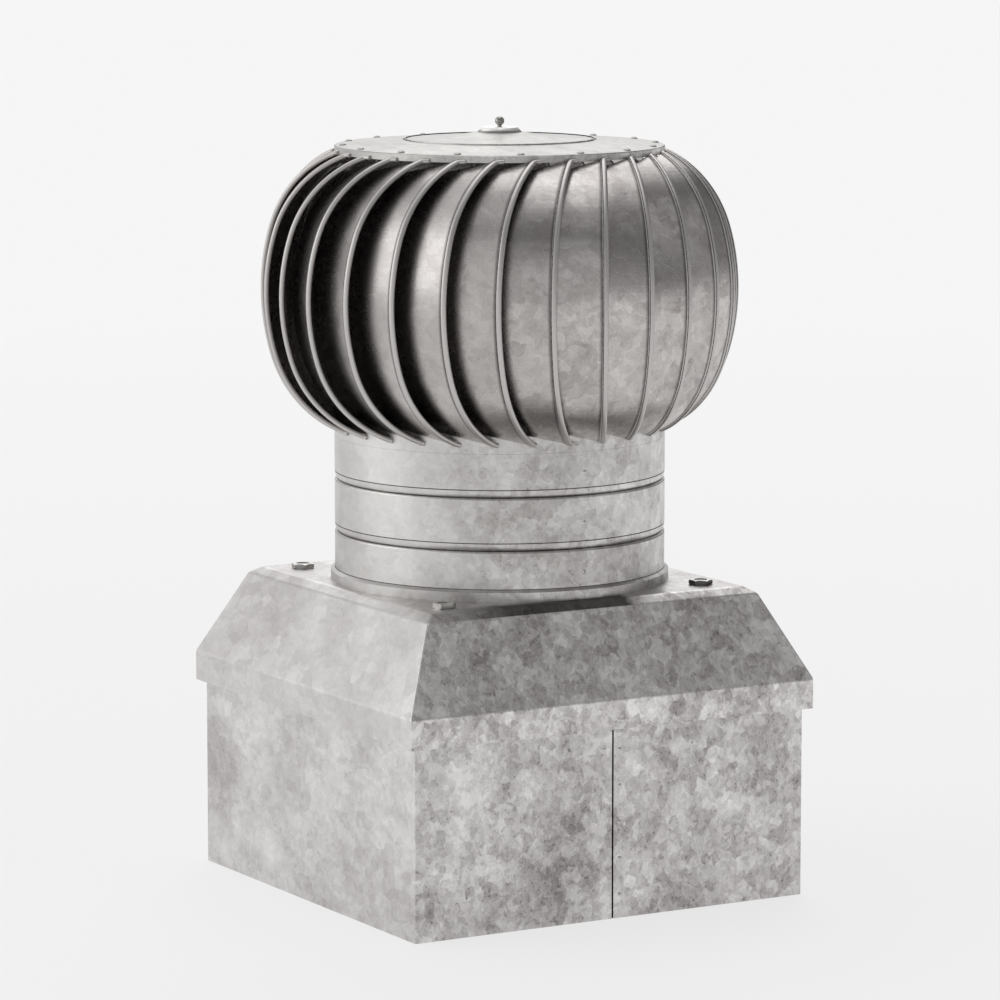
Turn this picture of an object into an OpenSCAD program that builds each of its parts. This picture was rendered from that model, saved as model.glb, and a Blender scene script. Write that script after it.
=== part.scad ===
// Wind-driven roof exhaust fan in galvanised sheet steel, sizes in millimetres.
// The origin is under the spindle's axis, at the foot of the curb box, and +Z is up.
// From the foot up it is a square curb box, a pyramid hood, a round throat in three
// sections and a barrel-shaped turbine of curved vanes under a disc crown. The wind turns
// the turbine on two ball bearings on a fixed spindle, which two braces hold in the throat.

/* [Sheet metal] */
// Thickness of the sheet of the curb box and the hood
sheet_t = 1.2; // [0.8:0.1:2]
// Thickness of the sheet of the throat, the rotor ring and the crown
duct_t = 1; // [0.6:0.1:1.5]
// Thickness of the vanes' sheet
vane_t = 0.8; // [0.5:0.1:1.2]

/* [Curb box] */
// Width and depth of the square box, outside
curb_w = 406; // [396:1:430]
// Height of the box's walls, up to the fold of the sloping flange
curb_h = 214.2; // [150:1:300]
// Length of the sloping flange that the hood sits on
seat_len = 18; // [8:1:26]
// Width of the flange folded inwards round the foot
foot_w = 34; // [26:1:45]
// Distance from the outside of the box to the centre of the fixing holes in the foot
foot_hole_inset = 18; // [14:1:20]
// Diameter of the fixing holes in the foot
foot_hole_d = 9; // [5:0.5:12]
// Gap between the two edges of the sheet at the front seam
seam_gap = 1.7; // [1:0.1:3]
// Width of the lap behind the seam
lap_w = 20; // [14:1:30]
// Distance from the seam's middle to its row of rivets
seam_rivet_x = 7.1; // [5:0.1:9]
// Height of the lowest seam rivet
seam_rivet_z = 21.7; // [12:0.1:30]
// Distance between the seam rivets
seam_rivet_pitch = 33.2; // [20:0.1:34]

/* [Hood] */
// Clear gap between the curb box and the hood's skirt
skirt_gap = 6.3; // [4:0.1:10]
// Height of the upright skirt
skirt_h = 27.4; // [16:0.1:40]
// Height of the folded hem inside the skirt
skirt_hem_h = 8; // [4:1:12]
// Height of the sloping sides
slope_h = 77.2; // [60:0.1:110]
// Height of the narrow bevel above the slope
bevel_h = 6.1; // [3:0.1:12]
// Width of the narrow bevel
bevel_w = 9.9; // [5:0.1:14]
// Width of the flat top outside the throat, at the middle of a side
top_land = 10.7; // [10:0.1:16]

/* [Hold-down studs] */
// Diameter of the four threaded studs
stud_d = 12; // [8:1:14]
// Width across the flats of the stud nuts
stud_nut_af = 19; // [17:1:22]
// Height of the stud nuts
stud_nut_h = 6; // [4:0.5:10]
// Distance from the edge of the hood's flat top to the studs' centres
stud_inset = 28.2; // [22:0.1:34]
// Depth of each stud's end below the top of its nut
stud_recess = 2.5; // [0.5:0.5:4]
// Thickness of the corner gussets that carry the studs
gusset_t = 3; // [2:0.5:5]
// Height of the gussets' folded sides
gusset_side_h = 25; // [12:1:40]
// Depth of the gussets' plates below the box's top fold
gusset_drop = 17; // [12:1:40]

/* [Throat] */
// Outside radius of the throat, half of the duct's nominal diameter
throat_r = 152.5; // [150:0.1:156]
// Height of the lower section above the hood's flat top
lower_h = 44.9; // [36:0.1:70]
// Height of the straight wall of the middle section
middle_h = 41.2; // [30:0.1:70]
// Height of the straight wall of the upper section
upper_h = 32.4; // [30:0.1:60]
// Height of the tapered neck that shows at each joint
neck_h = 7; // [4:0.1:12]
// Depth of the groove round each joint
neck_in = 4.3; // [3:0.1:6]
// Length of neck that slips down inside the section below
neck_slip = 12; // [6:1:20]
// Radius of the turned-in edge at the top of a section
lip_r = 1.8; // [1.2:0.1:2.6]
// Width of the lower section's flange under the hood
flange_w = 7.5; // [5:0.1:8]
// Outside width of the collar's band round the throat
collar_w = 3.8; // [3:0.1:6]
// Height of the collar up to the throat
collar_h = 10.6; // [6:0.1:16]
// Fall of the collar's sloping top
collar_fall = 2.2; // [1:0.1:4]
// Height of the upper section's guide lip inside the rotor ring
guide_h = 9.5; // [5:0.5:11]
// Height of the gap between the throat and the rotor ring
running_gap = 0.8; // [0.5:0.1:2]

/* [Spindle and bearings] */
// Diameter of the spindle at the bearings
journal_d = 15; // [12:1:17]
// Diameter of the spindle between the bearings
spindle_d = 20; // [18:1:22]
// Width across the flats of the spindle's nuts
spindle_nut_af = 22; // [20:1:26]
// Height of the spindle's nuts
spindle_nut_h = 8; // [6:1:12]
// Outside diameter of the ball bearings
bearing_d = 35; // [35:1:40]
// Width of the ball bearings
bearing_w = 11; // [10:1:14]
// Diameter of the bearings' balls
ball_d = 5.6; // [5:0.1:6]
// Number of balls in each bearing
ball_count = 9; // [6:1:10]
// Wall thickness of the bearing housings
housing_wall = 5; // [3:0.5:8]
// Thickness of the arms of the braces and the spider
arm_t = 3; // [2:0.5:5]
// Height of the brace arms
brace_h = 18; // [12:1:24]
// Height of the spider's arms
spider_h = 14; // [8:1:16]

/* [Turbine] */
// Number of vanes
vane_count = 28; // [20:4:32]
// Angle between a vane's rim plane and the radius
vane_lean = 24.6; // [20:0.1:30]
// Distance that the vane rims stand out beyond the throat at mid height
vane_bulge = 65.2; // [55:0.1:75]
// Width of a vane's sheet from its outer rim to its inner edge
vane_depth = 68; // [50:1:80]
// Radius of the flatter middle of a vane's curve
belly_r = 193.6; // [180:0.1:210]
// Half of the angle of the flatter middle
belly_a = 17.5; // [10:0.1:25]
// Radius of the rounder shoulders of a vane's curve
shoulder_r = 106.4; // [98:0.1:112]
// Radius of the rolled hem along a vane's outer rim
hem_r = 2.3; // [1.5:0.1:3]
// Width of the folded hem along a vane's inner edge
fold_w = 3; // [2:0.5:6]
// Turn of the vanes about the axis, from the +X axis
vane_turn = 8.2; // [0:0.1:12]
// Reach of the vane ends beyond the ring that they are soldered to
tip_reach = 1.1; // [0.5:0.1:2]
// Height of the vane ends above the foot of the rotor ring
tip_rise = 8.1; // [7:0.1:12]
// Height of the rotor ring
rotor_ring_h = 28; // [27:1:40]

/* [Crown] */
// Distance that the crown's rim lies inside the throat's radius
crown_inset = 1; // [0.5:0.1:3]
// Height of the crown's upright rim
crown_rim_h = 6.5; // [5.5:0.1:9]
// Distance that the crown's rim reaches below the vane ends
crown_lap = 0.2; // [0:0.1:1]
// Slope of the crown's disc
crown_slope = 4.3; // [3:0.1:7]
// Radius of the weather cap on the crown
cap_r = 87; // [75:0.5:100]
// Height of the weather cap's turned-down edge
cap_edge_h = 2.4; // [2:0.1:3.5]
// Slope of the weather cap
cap_slope = 4.7; // [4:0.1:8]
// Depth of the seat pressed into the crown round the weather cap
cap_seat_d = 1.2; // [0.6:0.1:1.6]
// Width of the groove round the weather cap
cap_groove_w = 1.6; // [1:0.1:3]
// Radius of the boss on the weather cap
boss_r = 20.5; // [16:0.5:24]
// Height of the boss
boss_h = 4.6; // [4:0.1:8]
// Radius of the ball on top
ball_r = 4.3; // [3:0.1:6]
// Height of the ball's centre above the boss
ball_rise = 5.3; // [4:0.1:8]
// Radius of the ball's neck
neck_r = 2; // [1.5:0.1:2.5]
// Number of rivets round the crown
crown_rivet_count = 16; // [8:1:24]
// Distance of the crown's rivets from its edge
crown_rivet_inset = 7; // [6.5:0.1:9]
// Radius of the heads of the crown's rivets
crown_rivet_head_r = 3.5; // [2.5:0.1:4.5]
// Width of the stiffening ring under the crown
stiff_ring_w = 14; // [13:0.5:24]
// Thickness of the stiffening ring under the crown
stiff_ring_t = 1.6; // [1:0.1:2]

/* [Hidden] */

$fn = 96;
// A cut runs this far past what it cuts
past = 1;
// Clearance of a pushed fit, such as a bearing on its journal
fit = 0.05;
// Clearance between two sheets or pieces that lie against each other
seat = 0.1;
// Clearance of a hole round the screw, stud or rivet in it
hole_ease = 0.15;
// Height of a nut's rounded corners, past the corners themselves
nut_round = 0.3;
// A solid rivet's tail is this share of its head's radius
tail_share = 0.8;

galvanised = [0.72, 0.72, 0.71];
dull_zinc = [0.62, 0.62, 0.61];
dark_steel = [0.38, 0.38, 0.38];
bright_steel = [0.8, 0.8, 0.8];

// Curb box and hood
curb_half = curb_w / 2;
curb_in = curb_half - sheet_t;
skirt_half = curb_half + skirt_gap + sheet_t;
flat_half = throat_r + top_land;
bevel_half = flat_half + bevel_w;
slope_a = atan((skirt_half - bevel_half) / slope_h);
bevel_a = atan(bevel_w / bevel_h);
slope_wall = sheet_t / cos(slope_a);
slope_z = curb_h - (skirt_half - curb_half - slope_wall - seat) / tan(slope_a);
skirt_z = slope_z - skirt_h;
bevel_z = slope_z + slope_h;
hood_z = bevel_z + bevel_h;
foot_hole_xy = curb_half - foot_hole_inset;
seam_rivet_count = 5;

// Blind rivets of the seam and the throat
blind_head_r = 2;
blind_head_h = 0.9;
blind_shank_r = 1.2;
blind_bore_r = 0.55;
blind_bore_z = 0.2;
blind_tail_r = 1.9;
blind_tail_h = 2;

// Studs and gussets
stud_xy = flat_half - stud_inset;
stud_top = hood_z + stud_nut_h - stud_recess;
gusset_z = curb_h - gusset_drop;
gusset_edge = 22;
gusset_leg = 2 * (curb_in - stud_xy) + gusset_edge * sqrt(2);
gusset_relief = 8;
stud_end_z = gusset_z - gusset_t - stud_nut_h - stud_recess;
stud_nut_turns = [48, 30, 5, 15];

// Throat
throat_in = throat_r - duct_t;
collar_z = hood_z + collar_h;
lower_top = hood_z + lower_h;
middle_z = lower_top + neck_h;
middle_top = middle_z + middle_h;
upper_z = middle_top + neck_h;
upper_top = upper_z + upper_h;
neck_out = throat_r - neck_in;
swage_w = 0.8;
swage_d = 0.45;
guide_r = throat_in - running_gap;
// Each section's rivet lies this far below the middle of the section's wall
throat_rivet_drops = [3.5, 3.5, 1.4];
throat_rivet_zs = [(collar_z + lower_top) / 2, (middle_z + middle_top) / 2,
                   (upper_z + upper_top) / 2] - throat_rivet_drops;

// Rotor ring and vanes
ring_z = upper_top + running_gap;
ring_top = ring_z + rotor_ring_h;
rim_r = throat_r + vane_bulge;
rim_u = rim_r * cos(vane_lean);
rim_s = -rim_r * sin(vane_lean);
belly_u = rim_u - belly_r;
shoulder_u = belly_u + (belly_r - shoulder_r) * cos(belly_a);
shoulder_z = (belly_r - shoulder_r) * sin(belly_a);
tip_u = sqrt(pow(throat_r + tip_reach, 2) - pow(rim_s, 2));
tip_a = acos((tip_u - shoulder_u) / shoulder_r);
vane_half_h = shoulder_z + shoulder_r * sin(tip_a);
vane_z = ring_z + tip_rise + vane_half_h;
vane_pitch = 360 / vane_count;
// The rolled hem is pressed flat by this much on its front
hem_flat = 0.1;
// A shoulder's section is this much smaller all round than the belly's, which it starts in
joint_step = 0.01;
// Angle by which a shoulder starts inside the belly
joint_lap_a = 0.1;

// Crown, weather cap, boss and ball
crown_r = throat_r - crown_inset;
crown_z = vane_z + vane_half_h - crown_lap;
crown_top = crown_z + crown_rim_h;
crown_bend_r = 1.6;
// Width of the steep side of the seat pressed round the weather cap
seat_side_w = 0.4;
crown_k = tan(crown_slope);
cap_k = tan(cap_slope);
cap_seat_r = cap_r + cap_groove_w;
cap_seat_z = crown_top + (crown_r - cap_seat_r) * crown_k - cap_seat_d;
// Rounding of the weather cap's edge
cap_edge_r = 0.4;
// Width of the weather cap's flat land round the boss
cap_land = 0.5;
cap_flat_r = boss_r + cap_land;
cap_floor_z = cap_seat_z + cap_groove_w * crown_k;
cap_edge_z = cap_floor_z + cap_edge_h;
cap_top = cap_edge_z + (cap_r - cap_flat_r) * cap_k;
boss_edge = 1.2;
boss_stem_r = 5;
boss_top = cap_top + boss_h;
ball_stem_h = 3;
ball_z = boss_top + ball_rise;
rivet_line_r = crown_r - crown_rivet_inset;
crown_shank_r = 2;
crown_head_h = 1.8;

// Upper bearing, under the flat middle of the crown
journal_r = journal_d / 2;
race_out_r = bearing_d / 2;
ball_line_r = (journal_r + race_out_r) / 2;
race_wall = 3.4;
groove_ease = 0.1;
housing_r = race_out_r + housing_wall;
housing_lip = 2;
housing_flange_w = 20;
housing_flange_t = 4;
housing_flange_r = housing_r + housing_flange_w;
housing_rivet_count = 6;
housing_rivet_r = (housing_r + housing_flange_r) / 2;
housing_shank_r = 2;
housing_head_r = 3.4;
housing_head_h = 1.6;
// Width of the crown's flat middle outside the housing's flange
crown_land = 14;
crown_flat_r = housing_flange_r + crown_land;
crown_flat_z = cap_seat_z + (cap_seat_r - crown_flat_r) * crown_k;
housing_top = crown_flat_z - duct_t;
// Room above the upper bearing for the spindle's end and its nut
end_room_h = 8.4;
end_room_step = 3.5;
end_room_r = race_out_r - end_room_step;
end_d = 12;
end_nut_h = 5;
end_over = 1;
upper_race_top = housing_top - housing_flange_t - end_room_h;
upper_race_z = upper_race_top - bearing_w;
spindle_top = upper_race_top + end_nut_h + end_over;

// Lower bearing, in the middle of the rotor's spider
spider_drop = 2;
spider_z = ring_top - spider_h - spider_drop;
sleeve_wall = 3;
sleeve_over = 2;
lip_ease = 0.5;
lower_housing_top = spider_z + spider_h + sleeve_over;
lower_housing_z = spider_z - sleeve_over;
lower_race_top = lower_housing_top - housing_lip - sleeve_over;
lower_race_z = lower_race_top - bearing_w;

// Braces and the spindle's foot
brace_hub_wall = 7;
brace_r = journal_r + brace_hub_wall;
brace_drop = 6;
upper_brace_z = upper_top - brace_drop - brace_h;
brace_rise = 5;
lower_brace_z = hood_z + brace_rise;
spindle_over = 4;
spindle_end_z = lower_brace_z - spindle_nut_h - spindle_over;
foot_a = 6;
foot_t = 2.5;
arm_turn = 90;
arm_pitch = 120;

function vane_name(i) = str("vane_", i < 10 ? "0" : "", i);

// Small shapes that repeat

module box(low, high) {
    translate(low) cube(high - low);
}

// Square prism about the axis, from height z0 to z1
module square_block(half, z0, z1) {
    box([-half, -half, z0], [half, half, z1]);
}

// Prism across the axis whose two sides follow a profile of half widths and heights
module ridge(profile) {
    far = [for (i = [len(profile) - 1:-1:0]) [-profile[i][0], profile[i][1]]];
    rotate([90, 0, 0]) linear_extrude(2 * (profile[0][0] + past), center = true)
        polygon(concat(profile, far));
}

// Form about the axis, square from above, whose four sides follow the profile
module square_form(profile) {
    intersection() {
        ridge(profile);
        rotate(90) ridge(profile);
    }
}

// Corner inside a bend of the sheet, whose outer faces lean in by the angles a0 and a1
function bend_inside(corner, a0, a1) =
    corner - sheet_t / (1 + cos(a1 - a0)) * [cos(a0) + cos(a1), sin(a0) + sin(a1)];

module rod(r, z0, z1) {
    translate([0, 0, z0]) cylinder(h = z1 - z0, r = r);
}

module tube(r_in, r_out, z0, z1) {
    difference() {
        rod(r_out, z0, z1);
        rod(r_in, z0 - past, z1 + past);
    }
}

// Hexagon nut standing on z = 0, bored for its screw
module hex_nut(af, h, bore_d) {
    difference() {
        intersection() {
            cylinder(h = h, d = af / cos(30), $fn = 6);
            nut_chamfer(af, h);
        }
        translate([0, 0, -past]) cylinder(h = h + 2 * past, d = bore_d + 2 * fit);
    }
}

// Turned form that rounds off a nut's six corners
module nut_chamfer(af, h) {
    corner = af / cos(30) / 2;
    cut = (corner - af / 2 + nut_round) / 2;
    rotate_extrude() polygon([[0, 0], [af / 2, 0], [corner + seat, cut],
        [corner + seat, h - cut], [af / 2, h], [0, h]]);
}

// Low dome of radius r and height h, standing on z = 0
module dome(r, h) {
    ball = (r * r + h * h) / (2 * h);
    rotate_extrude() intersection() {
        translate([0, h - ball]) circle(ball);
        square([r, h]);
    }
}

// Blind rivet with its outer head on z = 0 and its grip below
module blind_rivet(grip) {
    difference() {
        union() {
            dome(blind_head_r, blind_head_h);
            rod(blind_shank_r, -grip - blind_tail_h, blind_bore_z);
        }
        rod(blind_bore_r, blind_bore_z, blind_head_h + past);
    }
    rod(blind_tail_r, -grip - blind_tail_h, -grip);
}

// Solid rivet with a domed head above z = 0 and a flat tail below its grip
module solid_rivet(shank_r, head_r, head_h, grip) {
    dome(head_r, head_h);
    rod(shank_r, -grip - head_h / 2, head_h / 2);
    rod(head_r * tail_share, -grip - head_h / 2, -grip);
}

// One copy for each of the four corners, turned about the axis
module each_corner() {
    for (i = [0:3]) rotate(90 * i) children();
}

// Curb box

// Walls with the flange that leans in at their top, under the hood's slope
module curb_walls() {
    fold = [curb_half, curb_h];
    fold_in = bend_inside(fold, 0, slope_a);
    lean = seat_len * [-sin(slope_a), cos(slope_a)];
    difference() {
        square_form([[curb_half, 0], fold, fold + lean]);
        square_form([[curb_in, -past], fold_in, fold_in + 2 * lean]);
    }
}

module curb_foot() {
    difference() {
        square_block(curb_half, 0, sheet_t);
        square_block(curb_half - foot_w, -past, sheet_t + past);
        each_corner() translate([foot_hole_xy, foot_hole_xy, -past])
            cylinder(h = sheet_t + 2 * past, d = foot_hole_d);
    }
}

module seam_lap() {
    lap_y = -curb_in + seat;
    box([-lap_w / 2, lap_y, sheet_t + seat], [lap_w, lap_y + sheet_t, curb_h - seat]);
    box([-lap_w / 2, -curb_in - past / 2, sheet_t + seat],
        [-seam_gap / 2, lap_y + sheet_t / 2, curb_h - seat]);
}

module at_seam_rivets() {
    for (i = [0:seam_rivet_count - 1])
        translate([seam_rivet_x, -curb_half, seam_rivet_z + i * seam_rivet_pitch])
            rotate([90, 0, 0]) children();
}

module curb_box() color(galvanised) {
    difference() {
        union() {
            difference() {
                union() {
                    curb_walls();
                    curb_foot();
                }
                box([-seam_gap / 2, -curb_half - past, -past],
                    [seam_gap / 2, -curb_half + foot_w + past, curb_h + seat_len]);
            }
            seam_lap();
        }
        at_seam_rivets() translate([0, 0, -3 * sheet_t])
            cylinder(h = 4 * sheet_t, r = blind_shank_r + hole_ease);
    }
}

module curb_rivets() color(dull_zinc) {
    at_seam_rivets() blind_rivet(2 * sheet_t + seat);
}

// Hood

module hood() color(galvanised) {
    eave = [skirt_half, slope_z];
    brow = [bevel_half, bevel_z];
    top = [flat_half, hood_z];
    difference() {
        square_form([[skirt_half, skirt_z], eave, brow, top]);
        square_form([[skirt_half - sheet_t, skirt_z - past], bend_inside(eave, 0, slope_a),
            bend_inside(brow, slope_a, bevel_a), bend_inside(top, bevel_a, 90)]);
        rod(throat_r + seat, hood_z - 2 * sheet_t, hood_z + past);
        at_studs() rod(stud_d / 2 + hole_ease, hood_z - 2 * sheet_t, hood_z + past);
    }
    difference() {
        square_block(skirt_half - sheet_t / 2, skirt_z, skirt_z + skirt_hem_h);
        square_block(skirt_half - 2 * sheet_t, skirt_z - past, skirt_z + skirt_hem_h + past);
    }
}

// Hold-down studs, their nuts and the gussets in the corners of the box

module at_studs() {
    each_corner() translate([-stud_xy, -stud_xy, 0]) children();
}

module corner_gusset() {
    difference() {
        translate([0, 0, gusset_z - gusset_t]) linear_extrude(gusset_t)
            polygon([[-curb_in, -curb_in], [-curb_in + gusset_leg, -curb_in],
                [-curb_in, -curb_in + gusset_leg]]);
        translate([-stud_xy, -stud_xy, 0])
            rod(stud_d / 2 + hole_ease, gusset_z - gusset_t - past, gusset_z + past);
        box([-curb_in - past, -curb_in - past, gusset_z - gusset_t - past],
            [-curb_in + gusset_relief, -curb_in + gusset_relief, gusset_z + past]);
    }
    box([-curb_in + gusset_relief, -curb_in, gusset_z - gusset_side_h],
        [-curb_in + gusset_leg - gusset_relief, -curb_in + gusset_t, gusset_z - gusset_t / 2]);
    box([-curb_in, -curb_in + gusset_relief, gusset_z - gusset_side_h],
        [-curb_in + gusset_t, -curb_in + gusset_leg - gusset_relief, gusset_z - gusset_t / 2]);
}

module corner_gussets() color(dull_zinc) {
    each_corner() corner_gusset();
}

module hold_down_studs() color(dark_steel) {
    at_studs() rod(stud_d / 2, stud_end_z, stud_top);
}

module stud_nuts() color(dull_zinc) {
    for (i = [0:3]) rotate(90 * i) translate([-stud_xy, -stud_xy, 0]) {
        translate([0, 0, hood_z]) rotate(stud_nut_turns[i] - 90 * i)
            hex_nut(stud_nut_af, stud_nut_h, stud_d);
        translate([0, 0, gusset_z]) hex_nut(stud_nut_af, stud_nut_h, stud_d);
        translate([0, 0, gusset_z - gusset_t - stud_nut_h])
            hex_nut(stud_nut_af, stud_nut_h, stud_d);
    }
}

// Throat

// Half section of a section's top edge, turned in to grip the neck of the next
module lip_profile(top) {
    difference() {
        union() {
            translate([throat_r - lip_r, top - lip_r]) circle(lip_r);
            translate([neck_out + seat, top - lip_r]) square([neck_in - lip_r - seat, lip_r]);
        }
        translate([throat_r - lip_r, top - lip_r]) circle(lip_r - duct_t);
        translate([neck_out, top - lip_r - past])
            square([neck_in - lip_r, past + lip_r - duct_t]);
        translate([neck_out, top - 2 * lip_r - past]) square([neck_in + past, lip_r + past]);
    }
}

// Half section of a section's lower end, drawn in to a neck with a swaged line above it
module neck_profile(z) {
    neck_z = z - neck_h;
    slip_z = neck_z - neck_slip;
    difference() {
        polygon([[throat_in, z + 2 * swage_w], [throat_in, z], [neck_out - duct_t, neck_z],
            [neck_out - duct_t, slip_z], [neck_out, slip_z], [neck_out, neck_z],
            [throat_r, z], [throat_r, z + 2 * swage_w]]);
        translate([throat_r - swage_d, z]) square([swage_d + past, swage_w]);
    }
}

module throat_wall(z0, z1) {
    translate([throat_in, z0]) square([duct_t, z1 - z0]);
}

module at_throat_rivet(i) {
    translate([0, -throat_r, throat_rivet_zs[i]]) rotate([90, 0, 0]) children();
}

module throat_section(i) {
    difference() {
        rotate_extrude() children();
        at_throat_rivet(i) translate([0, 0, -3 * duct_t])
            cylinder(h = 4 * duct_t, r = blind_shank_r + hole_ease);
    }
}

module throat_lower() color(galvanised) {
    flange_z = hood_z - sheet_t - seat - duct_t;
    throat_section(0) {
        throat_wall(flange_z, lower_top - lip_r);
        lip_profile(lower_top);
        translate([throat_in, flange_z]) square([duct_t + flange_w, duct_t]);
    }
}

module throat_middle() color(galvanised) {
    throat_section(1) {
        throat_wall(middle_z + swage_w, middle_top - lip_r);
        lip_profile(middle_top);
        neck_profile(middle_z);
    }
}

module throat_upper() color(galvanised) {
    throat_section(2) {
        throat_wall(upper_z + swage_w, upper_top);
        neck_profile(upper_z);
        translate([guide_r - duct_t, upper_top - 2 * duct_t])
            square([throat_r - guide_r, duct_t]);
        translate([guide_r - duct_t, upper_top - 2 * duct_t])
            square([duct_t, guide_h + 2 * duct_t]);
    }
}

module throat_collar() color(galvanised) {
    inner = throat_r + seat;
    outer = throat_r + collar_w;
    brow = collar_z - collar_fall;
    rotate_extrude() polygon([[outer - duct_t, hood_z], [outer, hood_z], [outer, brow],
        [inner, collar_z], [inner, collar_z - duct_t], [outer - duct_t, brow - duct_t / 2]]);
}

module throat_rivets() color(dull_zinc) {
    for (i = [0:2]) at_throat_rivet(i) blind_rivet(duct_t + fit);
}

// Braces, spindle and bearings

// Hub with three arms on edge and feet that lie against a wall of radius wall_r
module three_arms(hub_r, z0, h, wall_r) {
    for (i = [0:2]) rotate(arm_turn + arm_pitch * i) {
        box([hub_r - past, -arm_t / 2, z0], [wall_r - foot_t / 2 - seat, arm_t / 2, z0 + h]);
        translate([0, 0, z0]) rotate_extrude(angle = 2 * foot_a, start = -foot_a)
            translate([wall_r - foot_t - seat, 0]) square([foot_t, h]);
    }
}

module brace(z0, wall_r) {
    three_arms(brace_r, z0, brace_h, wall_r);
    tube(journal_r + fit, brace_r, z0, z0 + brace_h);
}

module lower_brace() color(dull_zinc) {
    brace(lower_brace_z, throat_in);
}

module upper_brace() color(dull_zinc) {
    brace(upper_brace_z, throat_in);
}

module spindle() color(bright_steel) {
    rod(journal_r, spindle_end_z, lower_race_top);
    rod(spindle_d / 2, lower_race_top, upper_race_z);
    rod(journal_r, upper_race_z, upper_race_top);
    rod(end_d / 2, upper_race_top, spindle_top);
}

module spindle_nuts() color(dull_zinc) {
    for (z = [lower_brace_z, upper_brace_z]) {
        translate([0, 0, z - spindle_nut_h])
            hex_nut(spindle_nut_af, spindle_nut_h, journal_d);
        translate([0, 0, z + brace_h]) hex_nut(spindle_nut_af, spindle_nut_h, journal_d);
    }
    translate([0, 0, upper_race_top]) hex_nut(stud_nut_af, end_nut_h, end_d);
}

module ball_groove(z0) {
    translate([0, 0, z0 + bearing_w / 2]) rotate_extrude()
        translate([ball_line_r, 0]) circle(ball_d / 2 + groove_ease);
}

module inner_race(z0) {
    difference() {
        tube(journal_r + fit, journal_r + race_wall, z0, z0 + bearing_w);
        ball_groove(z0);
    }
}

module outer_race(z0) {
    difference() {
        tube(race_out_r - race_wall, race_out_r - fit, z0, z0 + bearing_w);
        ball_groove(z0);
    }
}

module lower_bearing_inner() color(bright_steel) {
    inner_race(lower_race_z);
}

module upper_bearing_inner() color(bright_steel) {
    inner_race(upper_race_z);
}

module lower_bearing_outer() color(bright_steel) {
    outer_race(lower_race_z);
}

module upper_bearing_outer() color(bright_steel) {
    outer_race(upper_race_z);
}

module bearing_balls() color(bright_steel) {
    for (z = [lower_race_z, upper_race_z])
        for (i = [0:ball_count - 1])
            rotate(i * 360 / ball_count)
                translate([ball_line_r, 0, z + bearing_w / 2]) sphere(d = ball_d);
}

// Rotor ring and its spider

module rotor_ring() color(galvanised) {
    tube(throat_in, throat_r, ring_z, ring_top);
}

module rotor_spider() color(dull_zinc) {
    sleeve_r = housing_r + sleeve_wall;
    three_arms(sleeve_r, spider_z, spider_h, throat_in);
    tube(housing_r + fit, sleeve_r, spider_z, spider_z + spider_h);
}

module lower_bearing_housing() color(dull_zinc) {
    difference() {
        rod(housing_r, lower_housing_z, lower_housing_top);
        rod(race_out_r, lower_housing_z - past, lower_race_top);
        rod(race_out_r - race_wall + lip_ease, lower_race_top - past, lower_housing_top + past);
    }
}

module upper_bearing_housing() color(dull_zinc) {
    difference() {
        union() {
            rod(housing_r, upper_race_z - housing_lip, housing_top);
            rod(housing_flange_r, housing_top - housing_flange_t, housing_top);
        }
        rod(race_out_r, upper_race_z - housing_lip - past, upper_race_top);
        rod(end_room_r, upper_race_top - past, upper_race_top + end_room_h);
        at_housing_rivets() translate([0, 0, -housing_flange_t - 2 * past])
            cylinder(h = housing_flange_t + 3 * past, r = housing_shank_r + hole_ease);
        rod(boss_stem_r + fit, housing_top - housing_flange_t - past, housing_top + past);
    }
}

module at_housing_rivets() {
    for (i = [0:housing_rivet_count - 1]) rotate(360 * i / housing_rivet_count)
        translate([housing_rivet_r, 0, crown_flat_z]) children();
}

module housing_rivets() color(dull_zinc) {
    at_housing_rivets() solid_rivet(housing_shank_r, housing_head_r, housing_head_h,
        duct_t + housing_flange_t);
}

// Vanes

// Carries a vane's flat frame to its place: x runs out across the rim, y runs up and
// z runs from the rim along the sheet, clockwise and inwards
module at_vane(i) {
    rotate(vane_turn + (i - 1) * vane_pitch - vane_lean)
        translate([0, 0, vane_z]) rotate([90, 0, 0]) translate([0, 0, rim_s]) children();
}

// A vane's section, drawn in by inset: the hem rolled along its outer rim and pressed flat
// on its front, the sheet, and the hem folded along its inner edge
module vane_section(inset) {
    intersection() {
        circle(hem_r - inset);
        translate([-hem_r, hem_flat - hem_r + inset]) square(2 * hem_r);
    }
    translate([inset - vane_t / 2, 0]) square([vane_t - 2 * inset, vane_depth - inset]);
    translate([inset - vane_t * 1.5, vane_depth - fold_w + inset])
        square([vane_t * 2 - 2 * inset, fold_w - 2 * inset]);
}

// The section swept along the vane's curve: the belly, then the two shoulders
module swept_vane() {
    translate([belly_u, 0, 0]) rotate_extrude(angle = 2 * belly_a, start = -belly_a)
        translate([belly_r, 0]) vane_section(0);
    start_a = belly_a - joint_lap_a;
    for (side = [-1, 1])
        translate([shoulder_u, side * shoulder_z, 0])
            rotate_extrude(angle = tip_a - start_a, start = side > 0 ? start_a : -tip_a)
                translate([shoulder_r, 0]) vane_section(joint_step);
}

module vane(i) color(galvanised) {
    difference() {
        at_vane(i) swept_vane();
        rod(throat_r + seat, ring_z - past, vane_z);
        rod(crown_r + seat, vane_z, crown_top + past);
    }
}

// Crown, weather cap, boss and ball

module at_crown_rivets() {
    for (i = [0:crown_rivet_count - 1])
        rotate(i * 360 / crown_rivet_count)
            translate([rivet_line_r, 0, crown_top + crown_rivet_inset * crown_k])
                rotate([0, crown_slope, 0]) children();
}

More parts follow.
